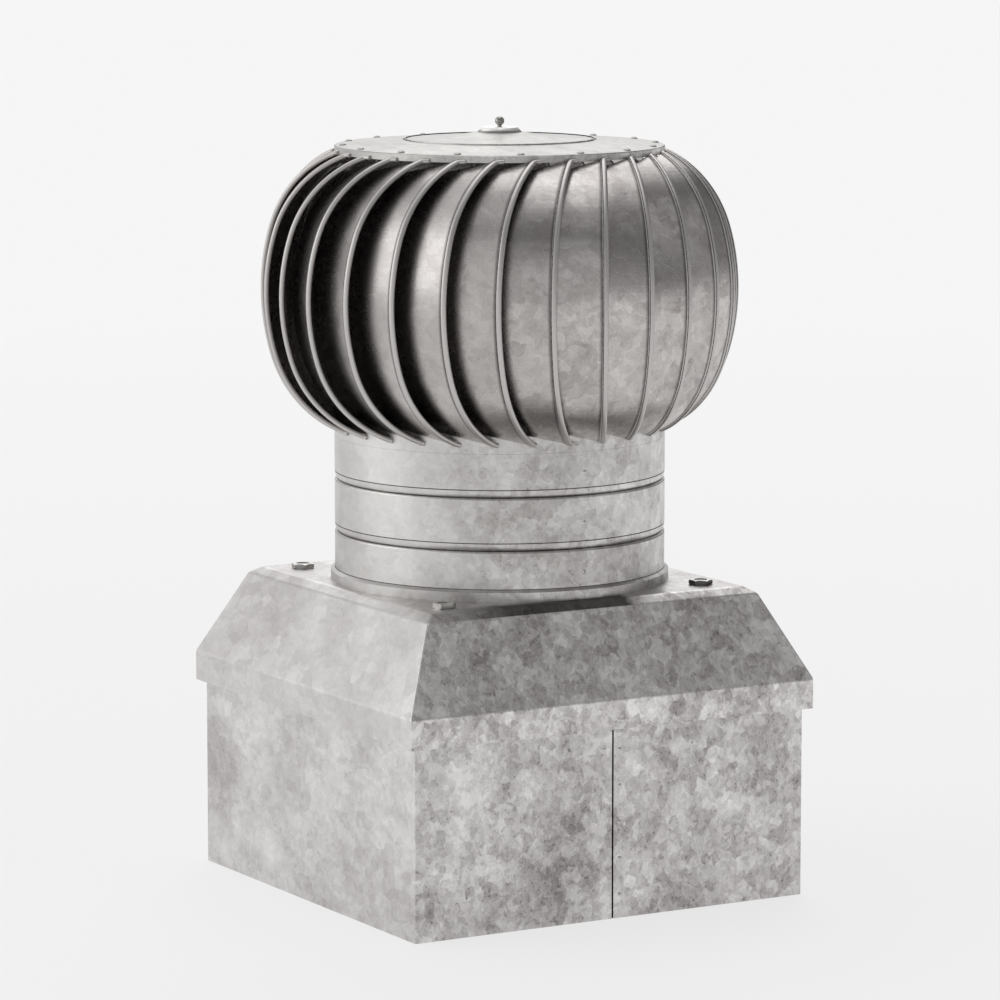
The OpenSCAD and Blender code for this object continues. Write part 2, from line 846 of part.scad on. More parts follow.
// Half section of the crown filled down to its foot, with its rim drawn in by inset
module crown_half(inset) {
    rim = crown_r - inset;
    polygon([[0, crown_z], [rim, crown_z], [rim, crown_top - crown_bend_r / 2],
        [rim - crown_bend_r / 2, crown_top],
        [cap_seat_r + seat_side_w, cap_seat_z + cap_seat_d], [cap_seat_r, cap_seat_z],
        [crown_flat_r, crown_flat_z], [0, crown_flat_z]]);
}

module crown() color(galvanised) {
    difference() {
        rotate_extrude() difference() {
            crown_half(0);
            translate([0, -duct_t]) crown_half(duct_t);
        }
        rod(boss_stem_r + hole_ease, crown_flat_z - 2 * duct_t, crown_flat_z + past);
        at_housing_rivets() translate([0, 0, -2 * duct_t])
            cylinder(h = 3 * duct_t, r = housing_shank_r + hole_ease);
        at_crown_rivets() translate([0, 0, -2 * duct_t])
            cylinder(h = 4 * duct_t, r = crown_shank_r + hole_ease);
    }
}

module stiffening_ring() color(dull_zinc) {
    r1 = crown_r - duct_t - crown_bend_r;
    r0 = r1 - stiff_ring_w;
    z1 = crown_top + crown_bend_r * crown_k - duct_t - seat;
    z0 = z1 + stiff_ring_w * crown_k;
    difference() {
        rotate_extrude() polygon([[r0, z0 - stiff_ring_t], [r1, z1 - stiff_ring_t],
            [r1, z1], [r0, z0]]);
        at_crown_rivets() translate([0, 0, -4 * duct_t])
            cylinder(h = 6 * duct_t, r = crown_shank_r + hole_ease);
    }
}

module crown_rivets() color(dull_zinc) {
    at_crown_rivets() solid_rivet(crown_shank_r, crown_rivet_head_r, crown_head_h,
        duct_t + 2 * seat + stiff_ring_t);
}

module weather_cap() color(galvanised) {
    difference() {
        rotate_extrude() polygon([[0, cap_top - duct_t], [cap_flat_r, cap_top - duct_t],
            [cap_r - duct_t, cap_edge_z - duct_t], [cap_r - duct_t, cap_floor_z + seat],
            [cap_r, cap_floor_z + seat], [cap_r, cap_edge_z - cap_edge_r],
            [cap_r - cap_edge_r, cap_edge_z], [cap_flat_r, cap_top], [0, cap_top]]);
        rod(boss_stem_r + hole_ease, cap_top - 2 * duct_t, cap_top + past);
    }
}

module cap_boss() color(galvanised) {
    difference() {
        union() {
            rotate_extrude() polygon([[0, cap_top], [boss_r, cap_top], [boss_r, boss_top - boss_edge],
                [boss_r - boss_edge, boss_top], [0, boss_top]]);
            rod(boss_stem_r, housing_top - housing_flange_t, cap_top + past);
        }
        rod(neck_r + fit, boss_top - ball_stem_h - fit, boss_top + past);
    }
}

module ball_finial() color(dull_zinc) {
    translate([0, 0, ball_z]) sphere(r = ball_r);
    rod(neck_r, boss_top - ball_stem_h, ball_z);
}

curb_box();
curb_rivets();
hood();
corner_gussets();
hold_down_studs();
stud_nuts();
throat_collar();
throat_lower();
throat_middle();
throat_upper();
throat_rivets();
lower_brace();
upper_brace();
spindle();
spindle_nuts();
lower_bearing_inner();
upper_bearing_inner();
bearing_balls();
rotor_ring();
rotor_spider();
lower_bearing_housing();
lower_bearing_outer();
crown();
crown_rivets();
stiffening_ring();
upper_bearing_housing();
housing_rivets();
upper_bearing_outer();
weather_cap();
cap_boss();
ball_finial();
for (i = [1:vane_count]) vane(i);
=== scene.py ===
"""A wind-driven roof exhaust fan in weathered galvanised steel: a square curb box and hood,
a round throat in three sections, and a turbine head of curved vanes that turns on it."""

from math import cos, pi, radians, sin

import bmesh
import bpy
from mathutils import Matrix, Vector


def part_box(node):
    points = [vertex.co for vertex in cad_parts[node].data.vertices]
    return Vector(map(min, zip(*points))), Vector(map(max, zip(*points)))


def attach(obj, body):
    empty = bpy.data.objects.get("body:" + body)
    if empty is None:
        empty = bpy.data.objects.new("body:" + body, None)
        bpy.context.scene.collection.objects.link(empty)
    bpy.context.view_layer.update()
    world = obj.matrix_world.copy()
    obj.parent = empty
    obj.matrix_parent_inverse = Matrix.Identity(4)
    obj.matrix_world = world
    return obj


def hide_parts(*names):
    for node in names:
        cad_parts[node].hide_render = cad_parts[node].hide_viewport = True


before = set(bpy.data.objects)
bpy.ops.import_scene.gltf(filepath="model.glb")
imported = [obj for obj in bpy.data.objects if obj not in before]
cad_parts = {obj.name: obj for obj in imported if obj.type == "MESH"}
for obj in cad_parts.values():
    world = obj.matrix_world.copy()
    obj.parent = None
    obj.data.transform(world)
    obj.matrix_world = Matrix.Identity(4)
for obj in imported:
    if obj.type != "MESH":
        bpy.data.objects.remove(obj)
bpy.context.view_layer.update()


# Curb box. The square base that stands on the roof curb, folded from galvanised steel sheet
# and blind riveted down the lap behind its front seam. It has weathered to a dull, blotched
# grey, dirtier on its front, and painted shade darkens the lap seen through the seam's gap.

MM = 0.001
BEND_RADIUS = 1.8 * MM
CURB_FACE = -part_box("curb_box")[0][1]
SEAM_SHADE = 1.4 * MM


def linear(hex_colour):
    """A colour written as sRGB hex, as the linear RGBA that a shader takes."""
    channels = [int(hex_colour[i:i + 2], 16) / 255 for i in (1, 3, 5)]
    return [c / 12.92 if c <= 0.04045 else ((c + 0.055) / 1.055) ** 2.4 for c in channels] + [1]


def add(tree, kind, inputs=None, out=0, **settings):
    """Adds a node with its settings, sets or links its inputs, and returns one of its outputs."""
    made = tree.nodes.new("ShaderNode" + kind)
    for name, value in settings.items():
        setattr(made, name, value)
    for key, value in (inputs or {}).items():
        if isinstance(value, bpy.types.NodeSocket):
            tree.links.new(value, made.inputs[key])
        else:
            made.inputs[key].default_value = value
    return made.outputs[out] if made.outputs else made


def new_material(name):
    """An empty material: its node tree, the object's own coordinates and its surface shader."""
    material = bpy.data.materials.new(name)
    material.use_nodes = True
    tree = material.node_tree
    tree.nodes.clear()
    place = add(tree, "TexCoord", out="Object")
    surface = add(tree, "BsdfPrincipled")
    add(tree, "OutputMaterial", {"Surface": surface})
    return material, tree, place, surface.node


def galvanised(name, zinc, dull, dirt, rough, dab=11, lean=0.06, clouds=1.0, specks=0.6, clean=0.4,
               worn=1.0):
    """Hot-dipped zinc on steel sheet. Its crystals have weathered to soft dabs of lighter and
    darker grey, some a little pinker, under clouds of dull white rust. Specks of dirt sit where
    it is dullest. How marked the dabs are goes from clean, on the faces away from the weather,
    to worn on those towards it."""
    material, tree, place, shader = new_material(name)
    hung = add(tree, "Mapping", {"Vector": place, "Scale": (1, 0.62, 0.86)})
    sway = add(tree, "TexNoise", {"Vector": hung, "Scale": 1 / (9 * MM), "Detail": 3.0}, "Color")
    bent = add(tree, "VectorMath", {0: sway, 1: (9 * MM,) * 3, 2: hung}, operation="MULTIPLY_ADD")
    dabs = add(tree, "TexVoronoi", {"Vector": bent, "Scale": 1 / (dab * MM)}, "Color")
    touches = add(tree, "TexVoronoi", {"Vector": bent, "Scale": 1 / (dab * 0.42 * MM)}, "Color")
    big = add(tree, "SeparateColor", {"Color": dabs})
    small = add(tree, "SeparateColor", {"Color": touches})
    blotch = add(tree, "TexNoise", {"Vector": bent, "Scale": 1 / (36 * MM), "Detail": 6.0,
                                    "Roughness": 0.7})
    cloud = add(tree, "TexNoise", {"Vector": place, "Scale": 1 / (120 * MM), "Detail": 2.0,
                                   "Roughness": 0.5})
    tooth = add(tree, "TexNoise", {"Vector": hung, "Scale": 1 / (2.2 * MM), "Detail": 2.0,
                                   "Roughness": 0.8})

    facing = add(tree, "VectorMath", {0: place.node.outputs["Normal"], 1: (0.5, -0.86, 0.0)}, "Value",
                 operation="DOT_PRODUCT")
    weather = add(tree, "MapRange", {"Value": facing, "From Min": -0.3, "From Max": 0.7,
                                     "To Min": clean, "To Max": worn}, interpolation_type="SMOOTHSTEP")
    shares = ((big, 0.32), (small, 0.3), (blotch, 1.35), (tooth, 0.5))
    mottle = -sum(share for _, share in shares) / 2
    for source, share in shares:
        mottle = add(tree, "Math", {0: source, 1: share, 2: mottle}, operation="MULTIPLY_ADD")
    level = add(tree, "Math", {0: cloud, 1: 0.9 * clouds, 2: 0.5 - 0.45 * clouds},
                operation="MULTIPLY_ADD")
    grey = add(tree, "Math", {0: mottle, 1: weather, 2: level}, operation="MULTIPLY_ADD", use_clamp=True)
    colour = add(tree, "Mix", {"Factor": grey, "A": linear(dull), "B": linear(zinc)}, "Result",
                 data_type="RGBA")
    pinker = add(tree, "MapRange", {"Value": big.node.outputs[1], "From Min": 0.25, "From Max": 0.75,
                                      "To Min": 0.55, "To Max": 0.95})
    pinker = add(tree, "Math", {0: pinker, 1: weather}, operation="MULTIPLY")
    tint = add(tree, "Mix", {"Factor": pinker, "A": linear("#F9FAF9"), "B": linear("#FBFAF9")},
               "Result", data_type="RGBA")
    colour = add(tree, "Mix", {"Factor": 1.0, "A": colour, "B": tint}, "Result",
                 data_type="RGBA", blend_type="MULTIPLY")
    speck = add(tree, "TexNoise", {"Vector": place, "Scale": 1 / (3.2 * MM), "Detail": 2.0,
                                   "Roughness": 0.7})
    dullest = add(tree, "MapRange", {"Value": grey, "From Min": 0.6, "From Max": 0.3})
    fleck = add(tree, "MapRange", {"Value": speck, "From Min": 0.58, "From Max": 0.7, "To Max": specks})
    fleck = add(tree, "Math", {0: fleck, 1: dullest}, operation="MULTIPLY")
    fleck = add(tree, "Math", {0: fleck, 1: weather}, operation="MULTIPLY")
    colour = add(tree, "Mix", {"Factor": fleck, "A": colour, "B": linear(dirt)}, "Result",
                 data_type="RGBA")
    tree.links.new(colour, shader.inputs["Base Color"])

    shader.inputs["Metallic"].default_value = 1.0
    gloss = add(tree, "MapRange", {"Value": grey, "To Min": rough + 0.08, "To Max": rough - 0.08})
    tree.links.new(gloss, shader.inputs["Roughness"])
    normal = add(tree, "NewGeometry", out="Normal")
    leaning = add(tree, "VectorMath", {0: dabs, 1: (lean,) * 3, 2: normal}, operation="MULTIPLY_ADD")
    leaning = add(tree, "VectorMath", {0: leaning, 1: (lean / 2,) * 3}, operation="SUBTRACT")
    relief = add(tree, "Math", {0: small.node.outputs[2], 1: blotch}, operation="ADD")
    bump = add(tree, "Bump", {"Height": relief, "Strength": 0.25, "Distance": 0.3 * MM,
                              "Normal": leaning})
    tree.links.new(bump, shader.inputs["Normal"])
    return material


def with_painted_shade(material, inside):
    """Lays near-black painted shade, as dark as the shade in a crease, over a material where the mask made by
    inside is 1.
    """
    tree = material.node_tree
    shader = tree.nodes["Principled BSDF"]
    place = add(tree, "TexCoord", out="Object")
    mask = inside(tree, place)
    # The painted shade: near-black, matt and not metallic
    for socket, value in (("Base Color", linear("#1E1B19")), ("Metallic", 0.0), ("Roughness", 0.9),
                          ("Specular IOR Level", 0.0)):
        link = shader.inputs[socket].links
        under = link[0].from_socket if link else shader.inputs[socket].default_value
        if socket == "Base Color":
            over = add(tree, "Mix", {"Factor": mask, "A": under, "B": value}, "Result", data_type="RGBA")
        else:
            over = add(tree, "Mix", {"Factor": mask, "A": under, "B": value}, "Result")
        tree.links.new(over, shader.inputs[socket])


def copy_of(node):
    """A CAD node's mesh to work on, with its loose triangles joined."""
    shape = bmesh.new()
    shape.from_mesh(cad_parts[node].data)
    bmesh.ops.remove_doubles(shape, verts=shape.verts, dist=0.01 * MM)
    bmesh.ops.dissolve_degenerate(shape, dist=0.01 * MM, edges=shape.edges)
    return shape


def dress(name, shape, body, node, material):
    """Puts a worked shape on its body in place of its CAD node, its wide faces shaded true."""
    for face in shape.faces:
        face.smooth = True
    mesh = bpy.data.meshes.new(name)
    shape.to_mesh(mesh)
    shape.free()
    mesh.set_sharp_from_angle(angle=radians(30))
    mesh.materials.append(material)
    piece = bpy.data.objects.new(name, mesh)
    bpy.context.scene.collection.objects.link(piece)
    piece.modifiers.new("wide faces first", "WEIGHTED_NORMAL").keep_sharp = True
    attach(piece, body)
    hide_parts(node)
    return piece


def folded_sheet(name, node, body, material):
    """The CAD sheet with the rounded bends that a press brake leaves on its outer folds."""
    shape = copy_of(node)
    bmesh.ops.dissolve_limit(shape, angle_limit=radians(0.5), verts=shape.verts, edges=shape.edges)
    folds = []
    for edge in shape.edges:
        if edge.calc_length() < 8 * MM or not edge.is_manifold or not edge.is_convex:
            continue
        middle = (edge.verts[0].co + edge.verts[1].co) / 2
        outward = all(face.normal.x * middle.x + face.normal.y * middle.y > 0.01 * MM
                      or face.normal.z > 0.9 for face in edge.link_faces)
        wide = all(face.calc_area() > 900 * MM * MM for face in edge.link_faces)
        if outward and wide and edge.calc_face_angle() > radians(12):
            folds.append(edge)
    bmesh.ops.bevel(shape, geom=folds, offset=BEND_RADIUS, affect="EDGES", segments=3, profile=0.5,
                    material=-1, clamp_overlap=True)
    return dress(name, shape, body, node, material)


def in_seam(tree, place):
    """1 on the lap that shows through the gap of the seam, at the back of the gap."""
    axis = add(tree, "SeparateXYZ", {0: place}).node
    across = add(tree, "Math", {0: axis.outputs[0], 1: 0.0, 2: SEAM_SHADE}, operation="COMPARE")
    behind = add(tree, "Math", {0: axis.outputs[1], 1: 0.35 * MM - CURB_FACE}, operation="GREATER_THAN")
    front = add(tree, "Math", {0: axis.outputs[1], 1: 0.0}, operation="LESS_THAN")
    both = add(tree, "Math", {0: across, 1: behind}, operation="MULTIPLY")
    return add(tree, "Math", {0: both, 1: front}, operation="MULTIPLY")


curb_zinc = galvanised("weathered galvanised sheet", "#F4F3F2", "#A09A9A", "#4E4A46", 0.42, clouds=1.25,
                       clean=0.48)
# Painted shade: the lap seen through the seam's gap is laid near-black, for the shade in the gap.
with_painted_shade(curb_zinc, in_seam)
folded_sheet("curb_walls", "curb_box", "base", curb_zinc)


# Blind rivets. Small domed rivets of zinc-plated steel, set from outside down the seam and
# the throat. The broken stem leaves a dark hole in the middle of each head.

def plated(name, colour, rough, metallic=1.0, grain=0.12):
    """Steel with a thin zinc plate, turned or stamped, dulled evenly by handling and weather."""
    material, tree, place, shader = new_material(name)
    cloud = add(tree, "TexNoise", {"Vector": place, "Scale": 1 / (5 * MM), "Detail": 4.0,
                                   "Roughness": 0.7})
    shade = add(tree, "MapRange", {"Value": cloud, "From Min": 0.3, "From Max": 0.7, "To Min": 1 - grain,
                                   "To Max": 1 + grain})
    tone = add(tree, "VectorMath", {0: linear(colour)[:3], "Scale": shade}, operation="SCALE")
    tree.links.new(tone, shader.inputs["Base Color"])
    shader.inputs["Metallic"].default_value = metallic
    gloss = add(tree, "MapRange", {"Value": cloud, "To Min": rough + 0.15, "To Max": rough - 0.15})
    tree.links.new(gloss, shader.inputs["Roughness"])
    bump = add(tree, "Bump", {"Height": cloud, "Strength": 0.2, "Distance": 0.1 * MM})
    tree.links.new(bump, shader.inputs["Normal"])
    return material


rivet_zinc = plated("zinc plated rivet steel", "#D2D1CF", 0.4)
for name in ("curb_rivets", "throat_rivets", "housing_rivets"):
    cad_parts[name].data.materials[0] = rivet_zinc


# Hood. The square cap over the curb box: an upright skirt, four sloping sides and a narrow
# bevel up to the flat top, pressed and folded from the same galvanised sheet.

def at_collar(tree, place):
    """How much painted shade darkens the narrow strip of the hood's top before the collar, and the
    bevel below it, from the left corner to a little right of the middle, where the head shades it."""
    axis = add(tree, "SeparateXYZ", {0: place}).node
    ragged = add(tree, "TexNoise", {"Vector": place, "Scale": 1 / (9 * MM), "Detail": 4.0})
    across = add(tree, "Math", {0: ragged, 1: 9 * MM, 2: axis.outputs[0]}, operation="MULTIPLY_ADD")
    depth = add(tree, "MapRange", {"Value": axis.outputs[1], "From Min": -140 * MM, "From Max": -156 * MM})
    begin = add(tree, "MapRange", {"Value": across, "From Min": -150 * MM, "From Max": -85 * MM,
                                   "To Min": 0.15, "To Max": 0.85})
    end = add(tree, "MapRange", {"Value": across, "From Min": 46 * MM, "From Max": 40 * MM})
    high = add(tree, "Math", {0: axis.outputs[2], 1: BEVEL_FOOT}, operation="GREATER_THAN")
    share = add(tree, "Math", {0: depth, 1: begin}, operation="MULTIPLY")
    share = add(tree, "Math", {0: share, 1: end}, operation="MULTIPLY")
    return add(tree, "Math", {0: share, 1: high}, operation="MULTIPLY")


BEVEL_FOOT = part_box("hood")[1][2] - 6.4 * MM
hood_zinc = galvanised("hood galvanised sheet", "#F4F3F2", "#A8A2A2", "#4E4A46", 0.38, clouds=0.8, clean=0.36,
                        worn=1.28, specks=0.35)
# Painted shade: the strip before the collar and the bevel below it are laid near-black.
with_painted_shade(hood_zinc, at_collar)
folded_sheet("hood_shell", "hood", "base", hood_zinc)


# Hold-down studs, nuts and gussets. Threaded rods come up through the corners of the hood from
# plates in the box, each with a thin blackened nut. The nuts' upward faces are coloured much
# paler than their sides, and the rods stop just below them.

HOOD_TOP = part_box("hood")[1][2]
NUT_KEPT = 4.4 / 6


def blackened(name, grey, black, worn, rough):
    """Blackened steel, faded to grey on the left pair, and much paler where it faces up."""
    material, tree, place, shader = new_material(name)
    up = add(tree, "SeparateXYZ", {0: place.node.outputs["Normal"]}, "Z")
    scuff = add(tree, "TexNoise", {"Vector": place, "Scale": 1 / (3 * MM), "Detail": 4.0, "Roughness": 0.7})
    facing_up = add(tree, "MapRange", {"Value": up, "From Min": 0.75, "From Max": 0.95})
    older = add(tree, "SeparateXYZ", {0: place}, "X")
    older = add(tree, "MapRange", {"Value": older, "From Min": -0.1, "From Max": 0.1})
    sides = add(tree, "Mix", {"Factor": older, "A": linear(grey), "B": linear(black)}, "Result",
                data_type="RGBA")
    tone = add(tree, "Mix", {"Factor": facing_up, "A": sides, "B": linear(worn)}, "Result",
               data_type="RGBA")
    shade = add(tree, "MapRange", {"Value": scuff, "From Min": 0.3, "From Max": 0.7, "To Min": 0.8,
                                   "To Max": 1.15})
    tone = add(tree, "VectorMath", {0: tone, "Scale": shade}, operation="SCALE")
    tree.links.new(tone, shader.inputs["Base Color"])
    shader.inputs["Metallic"].default_value = 1.0
    gloss = add(tree, "MapRange", {"Value": scuff, "To Min": rough + 0.1, "To Max": rough - 0.1})
    tree.links.new(gloss, shader.inputs["Roughness"])
    bump = add(tree, "Bump", {"Height": scuff, "Strength": 0.25, "Distance": 0.1 * MM})
    tree.links.new(bump, shader.inputs["Normal"])
    return material


nuts = copy_of("stud_nuts")
bmesh.ops.scale(nuts, vec=(1, 1, NUT_KEPT), space=Matrix.Translation((0, 0, -HOOD_TOP)),
                verts=[vert for vert in nuts.verts if vert.co.z > HOOD_TOP])
nut_steel = blackened("blackened nut steel", "#B5B3B0", "#6A6865", "#DAD8D5", 0.3)
dress("flat_nuts", nuts, "base", "stud_nuts", nut_steel)
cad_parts["hold_down_studs"].data.materials[0] = blackened("threaded rod steel", "#3A3836",
                                                                "#3A3836", "#B5B3B0", 0.45)
# Dull dipped zinc. Its dark grey is also painted shade, which darkens the braces, spider and ring inside the
# box and the head.
bracket_zinc = plated("dull zinc dipped bracket steel with painted shade", "#8F8D8A", 0.5)
for name in ("corner_gussets", "lower_brace", "upper_brace", "rotor_spider", "stiffening_ring"):
    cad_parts[name].data.materials[0] = bracket_zinc


# Throat. Three rolled sections of lighter galvanised duct, each drawn in to a rounded neck
# below a swaged line and slipped into the turned-in edge of the one below, with a loose collar
# round the foot. The ring that carries the vanes turns on top.

THROAT_WALL = 1.0 * MM
THROAT_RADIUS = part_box("rotor_ring")[1][0]
NECK_HIGH, NECK_SLIP, NECK_IN = 7.0 * MM, 12.0 * MM, 4.3 * MM
LIP_RADIUS = 1.8 * MM
SWAGE_HIGH, SWAGE_DEEP = 0.9 * MM, 1.1 * MM
RUNNING_GAP = 0.12 * MM
GUIDE_GAP, GUIDE_HIGH = 0.8 * MM, 9.5 * MM


def turned(name, node, body, outline, material):
    """A ring spun about the upright axis from its wall's closed outline of radii and heights."""
    shape = bmesh.new()
    corners = [shape.verts.new((radius, 0, height)) for radius, height in outline]
    for start, end in zip(corners, corners[1:] + corners[:1]):
        shape.edges.new((start, end))
    bmesh.ops.spin(shape, geom=shape.verts[:] + shape.edges[:], cent=(0, 0, 0), axis=(0, 0, 1),
                   angle=2 * pi, steps=144, use_merge=True)
    bmesh.ops.recalc_face_normals(shape, faces=shape.faces)
    return dress(name, shape, body, node, material)


def neck_outline(foot):
    """The lower end of a section from its inner wall round to its outer wall, foot being the
    height at which the wall ends."""
    outer, inner = THROAT_RADIUS, THROAT_RADIUS - THROAT_WALL
    rounds = [radians(a) for a in range(0, 91, 15)]
    roll = [(outer - 0.1 * MM - NECK_IN * (1 - cos(a)), foot - NECK_HIGH * sin(a)) for a in rounds]
    tail = foot - NECK_HIGH - NECK_SLIP
    inside = [(radius - THROAT_WALL, height) for radius, height in roll]
    end = roll[-1][0]
    return ([(inner, foot + 2 * SWAGE_HIGH)] + inside
            + [(end - THROAT_WALL, tail), (end, tail)] + roll[::-1]
            + [(outer - SWAGE_DEEP, foot + 0.15 * MM), (outer - SWAGE_DEEP, foot + SWAGE_HIGH - 0.15 * MM),
               (outer, foot + SWAGE_HIGH)])


def in_creases(tree, place):
    """How much painted shade darkens the lines round the throat: two swages and the collar's top edge."""
    axis = add(tree, "SeparateXYZ", {0: place}).node
    lines = 0.0
    for middle, half, share in crease_lines:
        line = add(tree, "Math", {0: axis.outputs[2], 1: middle, 2: half}, operation="COMPARE")
        lines = add(tree, "Math", {0: line, 1: share, 2: lines}, operation="MULTIPLY_ADD")
    return lines


middle_low, middle_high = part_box("throat_middle")
upper_low, upper_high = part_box("throat_upper")
middle_foot = middle_low[2] + NECK_SLIP + NECK_HIGH
upper_foot = upper_low[2] + NECK_SLIP + NECK_HIGH
collar_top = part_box("throat_collar")[1][2]
crease_lines = ((middle_foot + SWAGE_HIGH / 2, SWAGE_HIGH / 2 - 0.1 * MM, 0.7),
                (upper_foot + SWAGE_HIGH / 2, SWAGE_HIGH / 2 - 0.1 * MM, 0.7),
                (collar_top + 0.2 * MM, 0.3 * MM, 0.85))

throat_zinc = galvanised("duct galvanised sheet", "#F4F3F2", "#A39D9C", "#4E4A46", 0.4, clean=0.22, worn=0.66,
                         clouds=0.8)
# Painted shade: thin near-black lines at the two swages and along the collar's top edge.
with_painted_shade(throat_zinc, in_creases)
for name in ("throat_collar", "throat_lower", "rotor_ring"):
    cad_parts[name].data.materials[0] = throat_zinc

outer, inner = THROAT_RADIUS, THROAT_RADIUS - THROAT_WALL
top = middle_high[2]
lip = [(outer - LIP_RADIUS * (1 - cos(radians(a))), top - LIP_RADIUS * (1 - sin(radians(a))))
       for a in range(0, 91, 18)]
lip_end = outer - NECK_IN + 0.1 * MM
turned("throat_middle_section", "throat_middle", "base",
       neck_outline(middle_foot) + lip + [(lip_end, top), (lip_end, top - THROAT_WALL),
       (outer - LIP_RADIUS, top - THROAT_WALL), (inner, top - LIP_RADIUS)], throat_zinc)

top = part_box("rotor_ring")[0][2] - RUNNING_GAP
guide = inner - GUIDE_GAP
guide_top = upper_high[2]
turned("throat_upper_section", "throat_upper", "base",
       neck_outline(upper_foot) + [(outer, top), (inner, top), (inner, top - THROAT_WALL),
       (guide, top - THROAT_WALL), (guide, guide_top), (guide - THROAT_WALL, guide_top),
       (guide - THROAT_WALL, top - 2 * THROAT_WALL), (inner, top - 2 * THROAT_WALL)], throat_zinc)


# Spindle and bearings. A turned steel spindle held by nuts in the two braces, with a ball
# bearing at each end in a housing turned from zinc-plated steel.

bearing_steel = plated("ground bearing steel", "#B9B8B6", 0.2, grain=0.04)
for name in ("spindle", "bearing_balls", "lower_bearing_inner", "lower_bearing_outer",
             "upper_bearing_inner", "upper_bearing_outer"):
    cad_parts[name].data.materials[0] = bearing_steel
housing_zinc = plated("zinc plated housing steel", "#9C9A97", 0.35)
for name in ("spindle_nuts", "lower_bearing_housing", "upper_bearing_housing"):
    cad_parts[name].data.materials[0] = housing_zinc


# Vanes. Each is one strip of galvanised sheet curved from the throat to the crown. Its outer
# rim is rolled to a flattened, duller hem whose ends turn aside, and are soldered to the ring and the
# crown's rim. The sheet is smoother than the box, so it mirrors the room in soft bands.

VANE_COUNT = 28
VANE_LEAN, FIRST_VANE = radians(24.6), radians(8.2)
RIM_RADIUS, BELLY_RADIUS, SHOULDER_RADIUS = 217.7 * MM, 193.6 * MM, 106.4 * MM
BELLY_ANGLE, TIP_ANGLE = radians(17.5), radians(69.9)
HEM_DEEP, HEM_WIDE = 2.35 * MM, 3.0 * MM
HEM_INSET = 0.35 * MM
CREASE_WIDE = 5.5 * MM
# Radius and angle of each end's turn, and its straight length after it: upper end, lower end
HEM_ENDS = ((5.0 * MM, radians(48), 4.5 * MM), (3.0 * MM, radians(40), 1.2 * MM))


def hem_half(shape, side, turn_radius, turn, run):
    """Spins the hem's ring from the middle of the belly to its end at the crown (side 1) or at
    the throat (side -1), turns it aside along the rim and rounds it off."""
    belly = Vector((RIM_RADIUS * cos(VANE_LEAN) - BELLY_RADIUS, RIM_RADIUS * sin(VANE_LEAN),
                    vane_middle))
    step = BELLY_RADIUS - SHOULDER_RADIUS
    shoulder = belly + Vector((step * cos(BELLY_ANGLE), 0, side * step * sin(BELLY_ANGLE)))
    start = belly + Vector((BELLY_RADIUS - HEM_INSET, 0, 0))
    ring = bmesh.ops.create_circle(shape, segments=16, radius=1, matrix=Matrix.Translation(start)
                                   @ Matrix.Diagonal((HEM_DEEP, HEM_WIDE, 1, 1)))
    last = ring["verts"] + list({edge for vert in ring["verts"] for edge in vert.link_edges})
    for centre, angle, steps in ((belly, BELLY_ANGLE, 7), (shoulder, TIP_ANGLE - BELLY_ANGLE, 16)):
        last = bmesh.ops.spin(shape, geom=last, cent=centre, axis=(0, -side, 0), angle=angle,
                              steps=steps)["geom_last"]
    tip = shoulder + (SHOULDER_RADIUS - HEM_INSET) * Vector((cos(TIP_ANGLE), 0, side * sin(TIP_ANGLE)))
    ahead = Vector((-sin(TIP_ANGLE), 0, side * cos(TIP_ANGLE)))
    aside = Vector((-tip.y, tip.x, 0)).normalized()
    across = (aside - aside.dot(ahead) * ahead).normalized()
    bend = ahead.cross(across)
    last = bmesh.ops.spin(shape, geom=last, cent=tip + turn_radius * across, axis=bend, angle=turn,
                          steps=6)["geom_last"]
    onward = Matrix.Rotation(turn, 3, bend) @ ahead
    for distance, size in ((run, 1.0), (0.5 * MM, 0.86), (0.3 * MM, 0.6)):
        last = bmesh.ops.spin(shape, geom=last, cent=(0, 0, 0), axis=(0, 0, 1), angle=0,
                              dvec=onward * distance, steps=1)["geom_last"]
        rim = [part for part in last if isinstance(part, bmesh.types.BMVert)]
        middle = sum((vert.co for vert in rim), Vector()) / len(rim)
        bmesh.ops.scale(shape, vec=(size,) * 3, space=Matrix.Translation(-middle), verts=rim)
    bmesh.ops.edgeloop_fill(shape, edges=[part for part in last if isinstance(part, bmesh.types.BMEdge)])


vane_low, vane_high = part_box("vane_01")
vane_middle = (vane_low[2] + vane_high[2]) / 2
vane = copy_of("vane_01")
bmesh.ops.rotate(vane, cent=(0, 0, 0), matrix=Matrix.Rotation(VANE_LEAN - FIRST_VANE, 3, "Z"),
                 verts=vane.verts)
cut = bmesh.ops.bisect_plane(vane, geom=vane.verts[:] + vane.edges[:] + vane.faces[:],
                             plane_co=(0, RIM_RADIUS * sin(VANE_LEAN) - 1.2 * MM, 0), plane_no=(0, 1, 0),
                             clear_outer=True)["geom_cut"]
bmesh.ops.holes_fill(vane, edges=[part for part in cut if isinstance(part, bmesh.types.BMEdge)], sides=0)
crease_line = RIM_RADIUS * sin(VANE_LEAN) - CREASE_WIDE
bmesh.ops.bisect_plane(vane, geom=vane.verts[:] + vane.edges[:] + vane.faces[:],
                       plane_co=(0, crease_line, 0), plane_no=(0, 1, 0))
hem = bmesh.new()
for shape in (vane, hem):
    for layer in ("rolled", "painted_hem_shade"):
        shape.verts.layers.float.new(layer)
